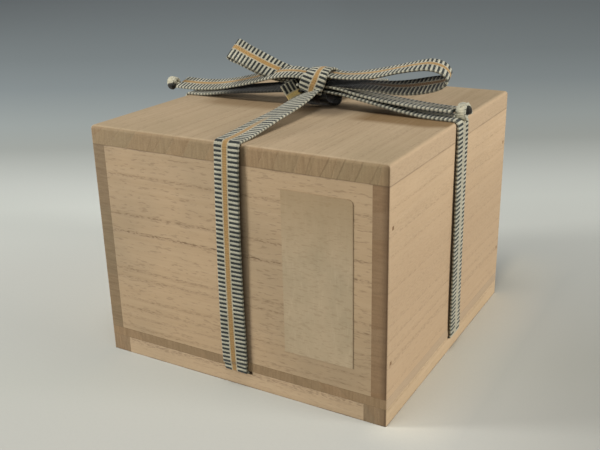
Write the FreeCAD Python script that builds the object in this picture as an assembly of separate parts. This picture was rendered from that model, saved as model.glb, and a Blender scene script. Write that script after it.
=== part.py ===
import FreeCAD, Part
import math
import os
from FreeCAD import Vector

# A tea bowl in its paulownia box, tied with a flat woven cord.
# Millimetres, +Z up. The origin is on the ground under the middle of the box, and the label faces -Y.

# Tea bowl, and the room that the box leaves round it
BOWL_DIAMETER = 124.0
BOWL_HEIGHT = 80.0
BOWL_SIDE_ROOM = 8.5
BOWL_HEAD_ROOM = 10.2

# Boards of the box
WALL = 7.5
LID_THICK = 9.2
BASE_THICK = 4.9
LID_ROUND = 1.8
EDGE_ROUND = 1.0

# Foot frame under the base board
FOOT_HEIGHT = 8.7
FOOT_WIDTH = 11.0
NOTCH_SIDE_ROOM = 1.1
NOTCH_ROOM = 0.2

# Battens that keep the lid in its place
BATTEN_WIDTH = 10.0
BATTEN_THICK = 7.0
BATTEN_ROUND = 0.8
BATTEN_ROOM = 0.7

# Four-sided bamboo pegs, tapered, driven in flush
PEG_HEAD = 1.6
PEG_TIP = 1.0
PEG_ROOM = 0.04
CORNER_PEG_BITE = 14.5
BASE_PEG_BITE = 11.1
FOOT_PEG_BITE = 2.3
BATTEN_PEG_BITE = 5.0
PEG_HEIGHT_SHARES = (0.17, 0.81)
PEG_SPREAD_SHARES = (-0.33, 0.33)

# How far a cut runs past the face it opens
OVERRUN = 2.0

# Paper label, glued to the front
LABEL_WIDTH = 34.6
LABEL_HEIGHT = 78.0
LABEL_THICK = 0.2
LABEL_SIDE_ROOM = 16.0
LABEL_TOP_ROOM = 7.8
LABEL_CORNER = 2.5

# Flat woven cord
CORD_WIDTH = 12.6
CORD_THICK = 1.3
CORD_ROOM = 0.3
CORD_X = 1.2
CORD_Y = 5.0
CORD_INNER_BEND = 0.5
CORD_SPLIT_HEIGHT = 3.0
CROSSING_REACH = 16.0
ARC_SHARE = 0.45

# Knot of the bow, above the middle of the lid
KNOT_LIFT = 13.0
KNOT_HALF_LENGTH = 9.0
KNOT_HALF_DEPTH = 8.0
KNOT_BOTTOM = 5.6
KNOT_SHOULDER = 12.2
KNOT_TOP = 19.9
KNOT_CORNER = 1.0

# Where each arm leaves the lid, and how high it meets the knot
ARM_LEAVES = {"front": 70.0, "right": 62.0, "back": 70.0, "left": 69.0}
ARM_MEETS = {"front": 7.6, "right": 8.0, "back": 7.6, "left": 7.0}

# Routes of the bow, from the middle of the knot: along the cord, and up
RIGHT_LOOP = [
    (9.0, 0.0), (22.0, -0.4), (35.0, -1.1), (48.0, -0.9), (59.0, 1.1), (67.0, 3.2), (72.4, 6.2),
    (73.0, 9.8), (68.6, 12.6), (59.5, 12.4), (47.0, 9.5), (33.0, 6.2), (20.0, 4.4), (9.0, 4.2),
]
LEFT_LOOP = [
    (-9.0, 2.9), (-18.0, 2.0), (-27.0, 3.9), (-35.0, 8.8), (-43.0, 13.2), (-49.0, 15.4),
    (-47.5, 18.4), (-43.0, 16.8), (-35.0, 12.2), (-27.0, 6.4), (-18.0, 3.9), (-9.0, 4.8),
]
RIGHT_TAIL = [(9.0, -3.1), (24.0, -4.5), (41.0, -6.6), (57.0, -7.6), (73.5, -7.8)]
LEFT_TAIL = [(-9.0, 1.0), (-22.0, -0.3), (-37.0, -3.9), (-53.0, -6.9), (-71.0, -8.3), (-88.0, -7.0)]
LOOP_TILT = 12.0
LEFT_TAIL_TILT = 12.0
RIGHT_TAIL_TILT = 0.0

# Small knot at each end of the cord, and the cut end past it
END_KNOT_LENGTH = 6.0
END_KNOT_WIDTH = 8.8
END_KNOT_HEIGHT = 6.4
END_TIP_LENGTH = 2.6
END_TIP_WIDTH = 7.6
END_TIP_HEIGHT = 3.0

# Bowl's outline: each pair is a radius and a height, as shares of the rim's radius and the bowl's height
FOOT_RING_SHARES = [(0.0, 0.07), (0.33, 0.07), (0.33, 0.0), (0.42, 0.0), (0.436, 0.013), (0.42, 0.088)]
OUTSIDE_SHARES = [
    (0.61, 0.126), (0.77, 0.213), (0.875, 0.335), (0.93, 0.475), (0.930, 0.575), (0.960, 0.675),
    (0.958, 0.77), (0.986, 0.865), (1.0, 0.972),
]
LIP_SHARES = [(0.988, 1.0), (0.952, 1.0), (0.936, 0.972)]
INSIDE_SHARES = [
    (0.852, 0.47), (0.785, 0.335), (0.665, 0.235), (0.49, 0.176), (0.34, 0.162), (0.31, 0.147),
    (0.0, 0.147),
]

# Sizes and places that follow
BOX_WIDTH = BOWL_DIAMETER + 2 * (BOWL_SIDE_ROOM + WALL)
BOX_DEPTH = BOX_WIDTH
FLOOR_Z = FOOT_HEIGHT + BASE_THICK
RIM_Z = FLOOR_Z + BOWL_HEIGHT + BOWL_HEAD_ROOM + BATTEN_THICK
BOX_HEIGHT = RIM_Z + LID_THICK
SIDE_X = BOX_WIDTH / 2
SIDE_Y = BOX_DEPTH / 2
LID_INNER_X = SIDE_X - WALL - BATTEN_ROOM
LID_INNER_Y = SIDE_Y - WALL - BATTEN_ROOM
NOTCH_WIDTH = CORD_WIDTH + 2 * NOTCH_SIDE_ROOM
NOTCH_DEPTH = CORD_THICK + 2 * NOTCH_ROOM
UNDER_Z = FOOT_HEIGHT - NOTCH_ROOM - CORD_THICK / 2
CROSSING_DIP = CORD_THICK + NOTCH_ROOM
CORD_OFF = CORD_ROOM + CORD_THICK / 2
SPLIT_Z = FOOT_HEIGHT + CORD_SPLIT_HEIGHT
KNOT_CENTRE = Vector(CORD_X, CORD_Y, BOX_HEIGHT + KNOT_LIFT)
NEAR = 1e-6


def box(low, high):
    """A block between two corners."""
    size = Vector(*high) - Vector(*low)
    return Part.makeBox(size.x, size.y, size.z, Vector(*low))


def rounded(solid, radius, wanted):
    """The solid with the straight edges that wanted() picks rounded over."""
    edges = [e for e in solid.Edges if wanted(e.Vertexes[0].Point, e.Vertexes[-1].Point)]
    return solid.makeFillet(radius, edges)


def upright_at(x_places, y_places):
    """Picks upright edges that stand at one of the x places and one of the y places."""
    def wanted(a, b):
        upright = abs(a.x - b.x) < NEAR and abs(a.y - b.y) < NEAR
        x_there = any(abs(a.x - x) < NEAR for x in x_places)
        y_there = any(abs(a.y - y) < NEAR for y in y_places)
        return upright and x_there and y_there
    return wanted


def edges_at_height(z):
    """Picks the edges that lie level at one height."""
    return lambda a, b: abs(a.z - z) < NEAR and abs(b.z - z) < NEAR


def save(shape, name):
    shape.exportStep("parts/" + name + ".step")
    facts = (name, len(shape.Solids), shape.Volume, shape.isValid())
    print("%-22s solids %d  volume %.1f  valid %s" % facts)


# Pegs: every peg and its hole come from the same taper


def peg(start, direction, length, room=0.0, overrun=0.0):
    """A tapered peg from its flush head inwards. With room and overrun it is the hole for that peg."""
    slope = (PEG_HEAD - PEG_TIP) / length
    sections = []
    for depth in (-overrun, length + room):
        half = (PEG_HEAD - slope * depth) / 2 + room
        sections.append(Part.makePolygon([
            Vector(-half, -half, depth), Vector(half, -half, depth), Vector(half, half, depth),
            Vector(-half, half, depth), Vector(-half, -half, depth),
        ]))
    solid = Part.makeLoft(sections, True, True)
    turn = FreeCAD.Rotation(Vector(0, 0, 1), Vector(*direction))
    solid.Placement = FreeCAD.Placement(Vector(*start), turn)
    return solid


def drilled(solid, pegs):
    """The solid with the holes of the given pegs."""
    for start, direction, length in pegs:
        solid = solid.cut(peg(start, direction, length, PEG_ROOM, OVERRUN))
    return solid


def peg_group(pegs):
    return Part.makeCompound([peg(*p) for p in pegs])


def corner_peg_places():
    """Two pegs at each upright corner, through a side wall into the end of the front or back panel."""
    wall_height = RIM_Z - FLOOR_Z
    places = []
    for side in (-1, 1):
        for end in (-1, 1):
            for share in PEG_HEIGHT_SHARES:
                start = (side * SIDE_X, end * (SIDE_Y - WALL / 2), FLOOR_Z + share * wall_height)
                places.append((start, (-side, 0, 0), WALL + CORNER_PEG_BITE))
    return places


def frame_peg_places(z, x_line, y_line, direction, length):
    """Two pegs along each side of a square frame, with their heads at one height."""
    places = []
    for side in (-1, 1):
        for share in PEG_SPREAD_SHARES:
            places.append(((side * x_line, share * BOX_DEPTH, z), direction, length))
            places.append(((share * BOX_WIDTH, side * y_line, z), direction, length))
    return places


CORNER_PEGS = corner_peg_places()
BASE_PEGS = frame_peg_places(
    FOOT_HEIGHT, SIDE_X - WALL / 2, SIDE_Y - WALL / 2, (0, 0, 1), BASE_THICK + BASE_PEG_BITE
)
FOOT_PEGS = frame_peg_places(
    0, SIDE_X - FOOT_WIDTH + PEG_HEAD * 2, SIDE_Y - FOOT_WIDTH + PEG_HEAD * 2,
    (0, 0, 1), FOOT_HEIGHT + FOOT_PEG_BITE,
)


# Box body


def side_wall(side):
    """A side wall, as deep as the box, drilled for the pegs that hold it."""
    inner, outer = side * (SIDE_X - WALL), side * SIDE_X
    wall = box((min(inner, outer), -SIDE_Y, FLOOR_Z), (max(inner, outer), SIDE_Y, RIM_Z))
    wall = rounded(wall, EDGE_ROUND, upright_at([outer], [-SIDE_Y, SIDE_Y]))
    return drilled(wall, CORNER_PEGS + BASE_PEGS)


def end_panel(side):
    """The front or back panel, which sits between the side walls."""
    inner, outer = side * (SIDE_Y - WALL), side * SIDE_Y
    reach = SIDE_X - WALL
    panel = box((-reach, min(inner, outer), FLOOR_Z), (reach, max(inner, outer), RIM_Z))
    return drilled(panel, CORNER_PEGS + BASE_PEGS)


def base_board():
    """The bottom board, under all four walls."""
    board = box((-SIDE_X, -SIDE_Y, FOOT_HEIGHT), (SIDE_X, SIDE_Y, FLOOR_Z))
    board = rounded(board, EDGE_ROUND, upright_at([-SIDE_X, SIDE_X], [-SIDE_Y, SIDE_Y]))
    return drilled(board, BASE_PEGS + FOOT_PEGS)


def foot_side(side):
    """A foot strip that runs the whole depth, notched on top where the cord passes."""
    inner, outer = side * (SIDE_X - FOOT_WIDTH), side * SIDE_X
    strip = box((min(inner, outer), -SIDE_Y, 0), (max(inner, outer), SIDE_Y, FOOT_HEIGHT))
    strip = rounded(strip, EDGE_ROUND, upright_at([outer], [-SIDE_Y, SIDE_Y]))
    notch = box(
        (min(inner, outer) - OVERRUN, CORD_Y - NOTCH_WIDTH / 2, FOOT_HEIGHT - NOTCH_DEPTH),
        (max(inner, outer) + OVERRUN, CORD_Y + NOTCH_WIDTH / 2, FOOT_HEIGHT + OVERRUN),
    )
    return drilled(strip.cut(notch), FOOT_PEGS)


def foot_end(side):
    """A foot strip between the two long ones, notched on top where the cord passes."""
    inner, outer = side * (SIDE_Y - FOOT_WIDTH), side * SIDE_Y
    reach = SIDE_X - FOOT_WIDTH
    strip = box((-reach, min(inner, outer), 0), (reach, max(inner, outer), FOOT_HEIGHT))
    notch = box(
        (CORD_X - NOTCH_WIDTH / 2, min(inner, outer) - OVERRUN, FOOT_HEIGHT - NOTCH_DEPTH),
        (CORD_X + NOTCH_WIDTH / 2, max(inner, outer) + OVERRUN, FOOT_HEIGHT + OVERRUN),
    )
    return drilled(strip.cut(notch), FOOT_PEGS)


def label_paper():
    """The paper label, with its one rounded upper corner."""
    right = SIDE_X - LABEL_SIDE_ROOM
    top = RIM_Z - LABEL_TOP_ROOM
    low = (right - LABEL_WIDTH, -SIDE_Y - LABEL_THICK, top - LABEL_HEIGHT)
    paper = box(low, (right, -SIDE_Y, top))
    near_corner = Vector(right - LABEL_THICK, 0, top - LABEL_THICK)

    def corner(a, b):
        return min(a.x, b.x) > near_corner.x and min(a.z, b.z) > near_corner.z

    return rounded(paper, LABEL_CORNER, corner)


# Lid


BATTEN_PEGS = frame_peg_places(
    RIM_Z - BATTEN_THICK, LID_INNER_X - BATTEN_WIDTH / 2, LID_INNER_Y - BATTEN_WIDTH / 2,
    (0, 0, 1), BATTEN_THICK + BATTEN_PEG_BITE,
)


def lid_board():
    """The lid's one board, with soft upper edges and upright corners."""
    board = box((-SIDE_X, -SIDE_Y, RIM_Z), (SIDE_X, SIDE_Y, BOX_HEIGHT))
    board = rounded(board, EDGE_ROUND, upright_at([-SIDE_X, SIDE_X], [-SIDE_Y, SIDE_Y]))
    board = rounded(board, LID_ROUND, edges_at_height(BOX_HEIGHT))
    return drilled(board, BATTEN_PEGS)


def batten_side(side):
    """A batten under the lid that runs front to back inside a side wall."""
    inner, outer = side * (LID_INNER_X - BATTEN_WIDTH), side * LID_INNER_X
    low, high = min(inner, outer), max(inner, outer)
    batten = box((low, -LID_INNER_Y, RIM_Z - BATTEN_THICK), (high, LID_INNER_Y, RIM_Z))
    batten = rounded(batten, BATTEN_ROUND, edges_at_height(RIM_Z - BATTEN_THICK))
    return drilled(batten, BATTEN_PEGS)


def batten_end(side):
    """A batten under the lid between the two long ones."""
    inner, outer = side * (LID_INNER_Y - BATTEN_WIDTH), side * LID_INNER_Y
    reach = LID_INNER_X - BATTEN_WIDTH
    batten = box(
        (-reach, min(inner, outer), RIM_Z - BATTEN_THICK), (reach, max(inner, outer), RIM_Z)
    )
    low = RIM_Z - BATTEN_THICK
    along = lambda a, b: edges_at_height(low)(a, b) and abs(a.x - b.x) > BATTEN_WIDTH
    return drilled(rounded(batten, BATTEN_ROUND, along), BATTEN_PEGS)


# Flat cord: a strip is a line of runs and tangent arcs, given thickness and then width


def bends(points, radii):
    """Where each inner point's arc starts, peaks and ends, its centre and its radius."""
    found = []
    for i in range(1, len(points) - 1):
        back = (points[i - 1] - points[i]).normalize()
        ahead = (points[i + 1] - points[i]).normalize()
        half_turn = (math.pi - back.getAngle(ahead)) / 2
        run = min(points[i].distanceToPoint(p) for p in (points[i - 1], points[i + 1]))
        radius = radii.get(i, ARC_SHARE * run / math.tan(half_turn))
        cut = radius * math.tan(half_turn)
        centre = points[i] + (back + ahead).normalize() * (radius / math.cos(half_turn))
        peak = centre + (points[i] - centre).normalize() * radius
        found.append((points[i] + back * cut, peak, points[i] + ahead * cut, centre, radius))
    return found


def side_line(points, arcs, off):
    """One face of the strip, seen from its edge: the line moved sideways by off."""
    first = (points[1] - points[0]).normalize()
    last = (points[-1] - points[-2]).normalize()
    ends = []
    for point, along in ((points[0], first), (points[-1], last)):
        moved = point + Vector(-along.z, 0, along.x) * off
        if abs(along.x) > abs(along.z):
            moved = moved + along * ((point.x - moved.x) / along.x)
        ends.append(moved)
    pieces, here = [], ends[0]
    for start, peak, end, centre, radius in arcs:
        along = (peak - start).normalize()
        inward = (centre - start).dot(Vector(-along.z, 0, along.x)) > 0
        share = (radius - off if inward else radius + off) / radius
        a, b, c = (centre + (p - centre) * share for p in (start, peak, end))
        pieces.append(Part.LineSegment(here, a).toShape())
        pieces.append(Part.Arc(a, b, c).toShape())
        here = c
    pieces.append(Part.LineSegment(here, ends[1]).toShape())
    return pieces, ends


def strip(name, route, radii=None):
    """A flat cord along a route of (along, up) points, standing on the XZ plane."""
    points = [Vector(along, 0, up) for along, up in route]
    arcs = bends(points, radii or {})
    upper, upper_ends = side_line(points, arcs, CORD_THICK / 2)
    lower, lower_ends = side_line(points, arcs, -CORD_THICK / 2)
    caps = [Part.LineSegment(a, b).toShape() for a, b in zip(upper_ends, lower_ends)]
    outline = Part.Wire(Part.__sortEdges__(upper + lower + caps))
    solid = Part.Face(outline).extrude(Vector(0, CORD_WIDTH, 0))
    solid.translate(Vector(0, -CORD_WIDTH / 2, 0))
    length, here = 0.0, points[0]
    for start, peak, end, centre, radius in arcs:
        turn = (start - centre).getAngle(end - centre)
        length += here.distanceToPoint(start) + radius * turn
        here = end
    length += here.distanceToPoint(points[-1])
    ratio = solid.Volume / (length * CORD_WIDTH * CORD_THICK)
    radii_text = " ".join("%.1f" % a[4] for a in arcs)
    print("%-22s length %.1f  volume over section %.4f  radii %s" % (name, length, ratio, radii_text))
    return solid


def placed(solid, angle, place):
    """The strip turned about the upright axis, then moved to its place."""
    solid.rotate(Vector(0, 0, 0), Vector(0, 0, 1), angle)
    solid.translate(Vector(*place))
    return solid


def arm(name, half_size, knot_reach, angle, place):
    """From the notch mouth up the wall, over the lid's edge and on to the knot."""
    out = half_size + CORD_OFF
    top = BOX_HEIGHT + CORD_OFF
    lift = (knot_reach, BOX_HEIGHT + ARM_MEETS[name])
    route = [(out, SPLIT_Z), (out, top), (ARM_LEAVES[name], top), lift]
    solid = strip("cord_" + name, route, {1: LID_ROUND + CORD_OFF})
    return placed(solid, angle, place)


def under_run(name, half_size, dip, angle, place):
    """Up out of one notch, under the base board and up out of the other."""
    out = half_size + CORD_OFF
    bend = CORD_INNER_BEND + CORD_THICK / 2
    route = [(-out, SPLIT_Z), (-out, UNDER_Z)]
    if dip:
        free = half_size - 2 * FOOT_WIDTH
        route += [(-free, UNDER_Z), (-CROSSING_REACH, UNDER_Z - dip)]
        route += [(CROSSING_REACH, UNDER_Z - dip), (free, UNDER_Z)]
    route += [(out, UNDER_Z), (out, SPLIT_Z)]
    solid = strip(name, route, {1: bend, len(route) - 2: bend})
    return placed(solid, angle, place)


def bow_piece(name, route, tilt):
    """A loop or a tail, leaned about the knot's long axis."""
    solid = strip(name, route)
    solid.rotate(Vector(0, 0, 0), Vector(1, 0, 0), tilt)
    solid.translate(KNOT_CENTRE)
    return solid


def loaf(half_length, inset):
    """A flat-bottomed arch across the knot, as long as the cord is wide or a little longer."""
    depth = KNOT_HALF_DEPTH - inset
    low = BOX_HEIGHT + KNOT_BOTTOM + inset
    shoulder = BOX_HEIGHT + KNOT_SHOULDER
    top = BOX_HEIGHT + KNOT_TOP - inset
    corner = KNOT_CORNER
    bevel = corner * (1 - math.sqrt(2) / 2)
    p = lambda y, z: Vector(-half_length, y, z)
    edges = [
        Part.LineSegment(p(-depth + corner, low), p(depth - corner, low)),
        Part.Arc(p(depth - corner, low), p(depth - bevel, low + bevel), p(depth, low + corner)),
        Part.LineSegment(p(depth, low + corner), p(depth, shoulder)),
        Part.Arc(p(depth, shoulder), p(0, top), p(-depth, shoulder)),
        Part.LineSegment(p(-depth, shoulder), p(-depth, low + corner)),
        Part.Arc(p(-depth, low + corner), p(-depth + bevel, low + bevel), p(-depth + corner, low)),
    ]
    face = Part.Face(Part.Wire([e.toShape() for e in edges]))
    return face.extrude(Vector(2 * half_length, 0, 0))


def knot():
    """The cord's turn round the crossing strands, and the strands inside it."""
    solid = loaf(CORD_WIDTH / 2, 0.0).fuse(loaf(KNOT_HALF_LENGTH, CORD_THICK))
    solid.translate(Vector(CORD_X, CORD_Y, 0))
    return solid.removeSplitter()


def round_sided(low_x, length, width, height):
    """A bar along X with flat top and bottom and round sides."""
    flat, radius = width / 2 - height / 2, height / 2
    p = lambda y, z: Vector(low_x, y, z)
    edges = [
        Part.LineSegment(p(-flat, -radius), p(flat, -radius)),
        Part.Arc(p(flat, -radius), p(flat + radius, 0), p(flat, radius)),
        Part.LineSegment(p(flat, radius), p(-flat, radius)),
        Part.Arc(p(-flat, radius), p(-flat - radius, 0), p(-flat, -radius)),
    ]
    return Part.Face(Part.Wire([e.toShape() for e in edges])).extrude(Vector(length, 0, 0))


def end_knot(route, angle, tilt):
    """The small knot that keeps the cord's end from fraying, with the cut end past it."""
    solid = round_sided(0, END_KNOT_LENGTH, END_KNOT_WIDTH, END_KNOT_HEIGHT)
    tip = round_sided(0, END_KNOT_LENGTH + END_TIP_LENGTH, END_TIP_WIDTH, END_TIP_HEIGHT)
    solid = solid.fuse(tip)
    solid.rotate(Vector(0, 0, 0), Vector(0, 0, 1), angle)
    along, up = route[-1]
    solid.translate(Vector(along, 0, up))
    solid.rotate(Vector(0, 0, 0), Vector(1, 0, 0), tilt)
    solid.translate(KNOT_CENTRE)
    return solid


# Tea bowl


def tea_bowl():
    """The thrown bowl: foot ring, haunch, ridged wall, soft lip and a pool in the floor."""
    shares = FOOT_RING_SHARES + OUTSIDE_SHARES + LIP_SHARES + INSIDE_SHARES
    points = [Vector(r * BOWL_DIAMETER / 2, 0, z * BOWL_HEIGHT) for r, z in shares]
    face = Part.Face(Part.makePolygon(points + points[:1]))
    solid = face.revolve(Vector(0, 0, 0), Vector(0, 0, 1), 360)
    solid.translate(Vector(0, 0, FLOOR_Z))
    return solid


# Every piece in its own file

os.makedirs("parts", exist_ok=True)

save(side_wall(-1), "left_wall")
save(side_wall(1), "right_wall")
save(end_panel(-1), "front_panel")
save(end_panel(1), "back_panel")
save(base_board(), "base_board")
save(foot_side(-1), "foot_strip_left")
save(foot_side(1), "foot_strip_right")
save(foot_end(-1), "foot_strip_front")
save(foot_end(1), "foot_strip_back")
save(peg_group(CORNER_PEGS), "corner_pegs")
save(peg_group(BASE_PEGS), "base_pegs")
save(peg_group(FOOT_PEGS), "foot_pegs")
save(label_paper(), "label_paper")

save(lid_board(), "lid_board")
save(batten_side(-1), "lid_batten_left")
save(batten_side(1), "lid_batten_right")
save(batten_end(-1), "lid_batten_front")
save(batten_end(1), "lid_batten_back")
save(peg_group(BATTEN_PEGS), "batten_pegs")

save(tea_bowl(), "tea_bowl")

save(under_run("cord_under_front_back", SIDE_Y, 0, 90, (CORD_X, 0, 0)), "cord_under_front_back")
save(under_run("cord_under_left_right", SIDE_X, CROSSING_DIP, 0, (0, CORD_Y, 0)), "cord_under_left_right")
save(arm("front", SIDE_Y, KNOT_HALF_DEPTH - CORD_Y, -90, (CORD_X, 0, 0)), "cord_front")
save(arm("back", SIDE_Y, KNOT_HALF_DEPTH + CORD_Y, 90, (CORD_X, 0, 0)), "cord_back")
save(arm("right", SIDE_X, KNOT_HALF_LENGTH + CORD_X, 0, (0, CORD_Y, 0)), "cord_right")
save(arm("left", SIDE_X, KNOT_HALF_LENGTH - CORD_X, 180, (0, CORD_Y, 0)), "cord_left")
save(knot(), "bow_knot")
save(bow_piece("bow_loop_right", RIGHT_LOOP, LOOP_TILT), "bow_loop_right")
save(bow_piece("bow_loop_left", LEFT_LOOP, LOOP_TILT), "bow_loop_left")
save(bow_piece("bow_tail_right", RIGHT_TAIL, RIGHT_TAIL_TILT), "bow_tail_right")
save(bow_piece("bow_tail_left", LEFT_TAIL, LEFT_TAIL_TILT), "bow_tail_left")
save(end_knot(RIGHT_TAIL, 0, RIGHT_TAIL_TILT), "tail_knot_right")
save(end_knot(LEFT_TAIL, 180, LEFT_TAIL_TILT), "tail_knot_left")
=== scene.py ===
import math

import bpy
from mathutils import Matrix, Vector


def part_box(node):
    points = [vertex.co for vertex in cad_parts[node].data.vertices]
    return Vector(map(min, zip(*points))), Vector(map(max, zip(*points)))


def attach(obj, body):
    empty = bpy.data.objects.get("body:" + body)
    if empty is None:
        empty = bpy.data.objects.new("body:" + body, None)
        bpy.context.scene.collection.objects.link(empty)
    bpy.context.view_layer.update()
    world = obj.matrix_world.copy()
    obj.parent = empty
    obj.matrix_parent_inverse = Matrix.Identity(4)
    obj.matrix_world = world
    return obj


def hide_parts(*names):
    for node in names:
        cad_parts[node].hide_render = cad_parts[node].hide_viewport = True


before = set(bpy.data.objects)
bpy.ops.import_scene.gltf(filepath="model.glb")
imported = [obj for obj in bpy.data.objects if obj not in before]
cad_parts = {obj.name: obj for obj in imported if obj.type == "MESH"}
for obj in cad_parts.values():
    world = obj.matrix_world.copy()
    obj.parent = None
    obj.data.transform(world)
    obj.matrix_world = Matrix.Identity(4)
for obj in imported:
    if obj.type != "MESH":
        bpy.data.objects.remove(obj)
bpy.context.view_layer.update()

scene = bpy.context.scene

X, Y, Z = 0, 1, 2
MM_PER_M = 1000.0


# Camera at the photograph's angle

YAW, PITCH, ROLL = math.radians(30.27), math.radians(20.60), math.radians(-1.367)
EYE = Vector((0.20256, -0.36213, 0.21175))
FOCAL_PX, PHOTO_WIDTH_PX, SENSOR_MM = 826.69, 600.0, 36.0


def camera():
    back = Vector((
        math.sin(YAW) * math.cos(PITCH), -math.cos(YAW) * math.cos(PITCH), math.sin(PITCH)
    ))
    level = (-back).cross(Vector((0, 0, 1))).normalized()
    rise = level.cross(-back)
    right = math.cos(ROLL) * level + math.sin(ROLL) * rise
    up = -math.sin(ROLL) * level + math.cos(ROLL) * rise
    data = bpy.data.cameras.new("camera")
    data.sensor_fit = "HORIZONTAL"
    data.sensor_width = SENSOR_MM
    data.lens = FOCAL_PX * SENSOR_MM / PHOTO_WIDTH_PX
    data.clip_start, data.clip_end = 0.01, 60.0
    eye = bpy.data.objects.new("camera", data)
    turn = Matrix((right, up, back)).transposed().to_4x4()
    eye.matrix_world = Matrix.Translation(EYE) @ turn
    scene.collection.objects.link(eye)
    scene.camera = eye


camera()


# Node building. Colours are written as sRGB, 0 to 255.

def linear(rgb):
    """A colour as the shader wants it."""
    def one(c):
        c /= 255.0
        return c / 12.92 if c <= 0.04045 else ((c + 0.055) / 1.055) ** 2.4
    return tuple(one(c) for c in rgb) + (1.0,)


class Nodes:
    """One material and short words for the nodes in it."""

    def __init__(self, name):
        self.material = bpy.data.materials.new(name)
        self.material.use_nodes = True
        self.tree = self.material.node_tree
        self.tree.nodes.clear()

    def new(self, kind, **facts):
        node = self.tree.nodes.new("ShaderNode" + kind)
        for key, value in facts.items():
            setattr(node, key, value)
        return node

    def put(self, socket, value):
        if isinstance(value, bpy.types.NodeSocket):
            self.tree.links.new(value, socket)
        else:
            socket.default_value = value

    def place(self):
        return self.new("TexCoord").outputs["Object"]

    def parts(self, vector):
        node = self.new("SeparateXYZ")
        self.put(node.inputs[0], vector)
        return list(node.outputs)

    def math(self, operation, a, b=0.0):
        node = self.new("Math", operation=operation)
        for socket, value in zip(node.inputs, (a, b)):
            self.put(socket, value)
        return node.outputs[0]

    def plus(self, a, b):
        return self.math("ADD", a, b)

    def minus(self, a, b):
        return self.math("SUBTRACT", a, b)

    def times(self, product, *factors):
        for factor in factors:
            product = self.math("MULTIPLY", product, factor)
        return product

    def apart(self, a, b):
        return self.math("ABSOLUTE", self.minus(a, b))

    def hypot(self, a, b):
        return self.math("SQRT", self.plus(self.times(a, a), self.times(b, b)))

    def ribs(self, value, turns):
        return self.math("ABSOLUTE", self.math("SINE", self.times(value, turns * math.pi)))

    def ragged(self, value, noise, amount):
        """The value moved up and down by a noise, so that an edge drawn from it isn't straight."""
        return self.plus(value, self.times(self.minus(noise, 0.5), amount))

    def scaled(self, vector, scale, shift=(0, 0, 0)):
        node = self.new("Mapping")
        self.put(node.inputs["Vector"], vector)
        node.inputs["Scale"].default_value = scale
        node.inputs["Location"].default_value = shift
        return node.outputs[0]

    def noise(self, vector, scale=1.0, detail=2.0, rough=0.5, bend=0.0, line=False):
        node = self.new("TexNoise", noise_dimensions="1D" if line else "3D")
        self.put(node.inputs["W" if line else "Vector"], vector)
        node.inputs["Scale"].default_value = scale
        node.inputs["Detail"].default_value = detail
        node.inputs["Roughness"].default_value = rough
        node.inputs["Distortion"].default_value = bend
        return node.outputs["Fac"]

    def cells(self, vector, scale, detail=2.0, rough=0.5, bend=0.0):
        """Noise with one scale for all axes, or with one for each."""
        scale = (scale,) * 3 if isinstance(scale, float) else scale
        return self.noise(self.scaled(vector, scale), 1.0, detail, rough, bend)

    def ramp(self, value, stops):
        """Each stop is a place and a grey, or a place and a colour."""
        node = self.new("ValToRGB")
        marks = node.color_ramp.elements
        while len(marks) < len(stops):
            marks.new(0.5)
        for mark, (place, tone) in zip(marks, stops):
            mark.position = place
            mark.color = (tone, tone, tone, 1) if isinstance(tone, (int, float)) else tone
        self.put(node.inputs[0], value)
        return node.outputs[0]

    def span(self, value, low, high, start=0.0, end=1.0, smooth=False):
        """From start to end, as the value goes from low to high."""
        node = self.new("MapRange", clamp=True)
        node.interpolation_type = "SMOOTHSTEP" if smooth else "LINEAR"
        for socket, v in zip(node.inputs, (value, low, high, start, end)):
            self.put(socket, v)
        return node.outputs[0]

    def mix(self, share, a, b):
        node = self.new("Mix", data_type="RGBA", blend_type="MIX", clamp_factor=True)
        self.put(node.inputs[0], share)
        self.put(node.inputs[6], a)
        self.put(node.inputs[7], b)
        return node.outputs[2]

    def grade(self, value, low, high, first, second):
        """From one colour to another, as the value goes from low to high."""
        return self.mix(self.span(value, low, high), linear(first), linear(second))

    def tint(self, share, below, rgb):
        """A share of a colour over what lies below."""
        return self.mix(share, below, linear(rgb))

    def bump(self, height, strength, distance):
        node = self.new("Bump")
        node.inputs["Strength"].default_value = strength
        node.inputs["Distance"].default_value = distance
        self.put(node.inputs["Height"], height)
        return node.outputs[0]

    def finish(self, colour, rough, normal=None, **constants):
        shader = self.new("BsdfPrincipled")
        self.put(shader.inputs["Base Color"], colour)
        self.put(shader.inputs["Roughness"], rough)
        if normal is not None:
            self.put(shader.inputs["Normal"], normal)
        for key, value in constants.items():
            shader.inputs[key.replace("_", " ")].default_value = value
        out = self.new("OutputMaterial")
        self.tree.links.new(shader.outputs[0], out.inputs[0])
        return self.material


# Wood: growth rings round a pith line, pores as short dashes in them, patina, and painted shade and
# shadows

# The second colour darkens the ends towards the right corner; the third is painted shade along the
# joints
PORE, END_CORNER_DARK, JOINT_SHADE = (92, 68, 44), (84, 62, 40), (70, 50, 32)
END_LINE, BESIDE_END_LINE = (100, 70, 44), (146, 134, 100)
# Painted shade under the knot, a painted shadow right of the cord, and painted shadow bands in
# front of it
PAINTED_SHADE_DARK, PAINTED_SHADOW_DARK, PAINTED_SHADOW_BROWN = (52, 42, 32), (58, 44, 32), (110, 82, 42)

# Places within one ring, and how much late wood there is
LATE_WOOD = [(0.0, 0.1), (0.5, 0.14), (0.84, 0.45), (0.93, 1.0), (0.97, 0.6), (1.0, 0.1)]
LATE_WOOD_AT_ENDS = [
    (0.0, 0.05), (0.55, 0.0), (0.80, 0.35), (0.90, 1.0), (0.96, 0.35), (1.0, 0.05),
]

BOX_TOP_MM = 120.0
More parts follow.
